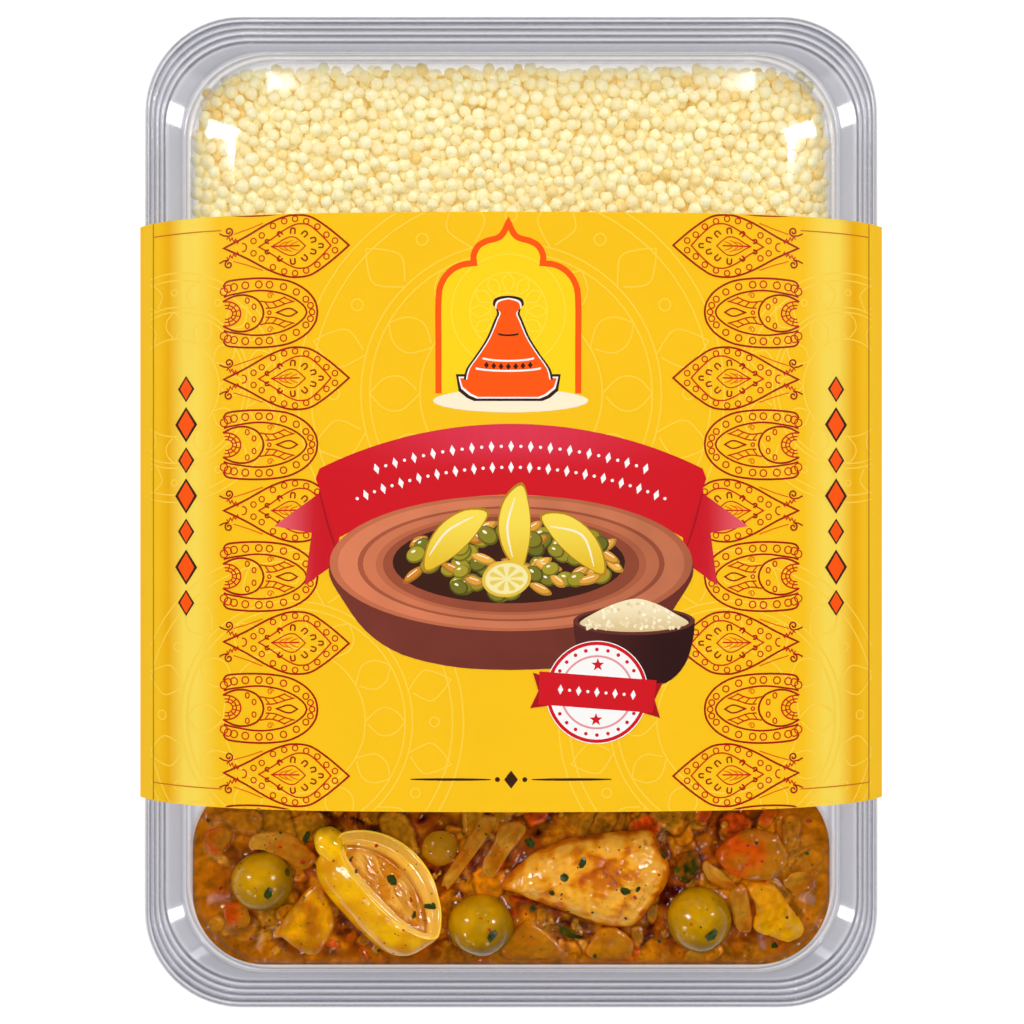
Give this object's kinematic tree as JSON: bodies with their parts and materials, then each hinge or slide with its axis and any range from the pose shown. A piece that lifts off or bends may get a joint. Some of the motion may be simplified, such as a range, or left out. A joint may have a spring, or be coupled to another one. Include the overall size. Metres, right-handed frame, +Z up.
{
  "type": "ready meal tray of chicken tagine and couscous",
  "caption": "Sealed ready meal: clear two-well tray with a domed clear lid and a printed card sleeve, holding pearl couscous and a chicken, olive and preserved lemon stew.",
  "frame": {"origin": "middle of the sleeve's flat underside, on the plane the pack lies on", "axes": "+X across the pack, +Y along it towards the couscous end, +Z up through the lid"},
  "size_m": [0.1712, 0.2296, 0.0476],
  "materials": {
    "clear_tray": "gloss",
    "clear_lid": "gloss",
    "printed_card": "satin",
    "couscous": "satin",
    "sauce": "gloss",
    "olive": "gloss",
    "preserved_lemon": "gloss",
    "onion": "gloss",
    "tomato": "gloss",
    "carrot": "gloss",
    "green_pepper": "gloss",
    "chicken": "satin"
  },
  "bodies": {
    "root": {"tray": "clear_tray", "lid": "clear_lid", "sleeve": "printed_card", "couscous": "couscous", "stew": "sauce", "olive_1": "olive", "olive_2": "olive", "olive_3": "olive", "olive_4": "olive", "preserved_lemon_cube": "preserved_lemon", "lemon_peel_chunk": "preserved_lemon", "onion_strip_1": "onion", "onion_strip_2": "onion", "onion_slice_1": "onion", "onion_slice_2": "onion", "onion_slice_3": "onion", "onion_slice_4": "onion", "tomato_piece_1": "tomato", "tomato_piece_2": "tomato", "tomato_piece_3": "tomato", "carrot_cube_1": "carrot", "carrot_cube_2": "carrot", "pepper_strip": "green_pepper", "pepper_piece": "green_pepper", "lemon_half": "preserved_lemon", "chicken_piece": "chicken"}
  },
  "joints": []
}
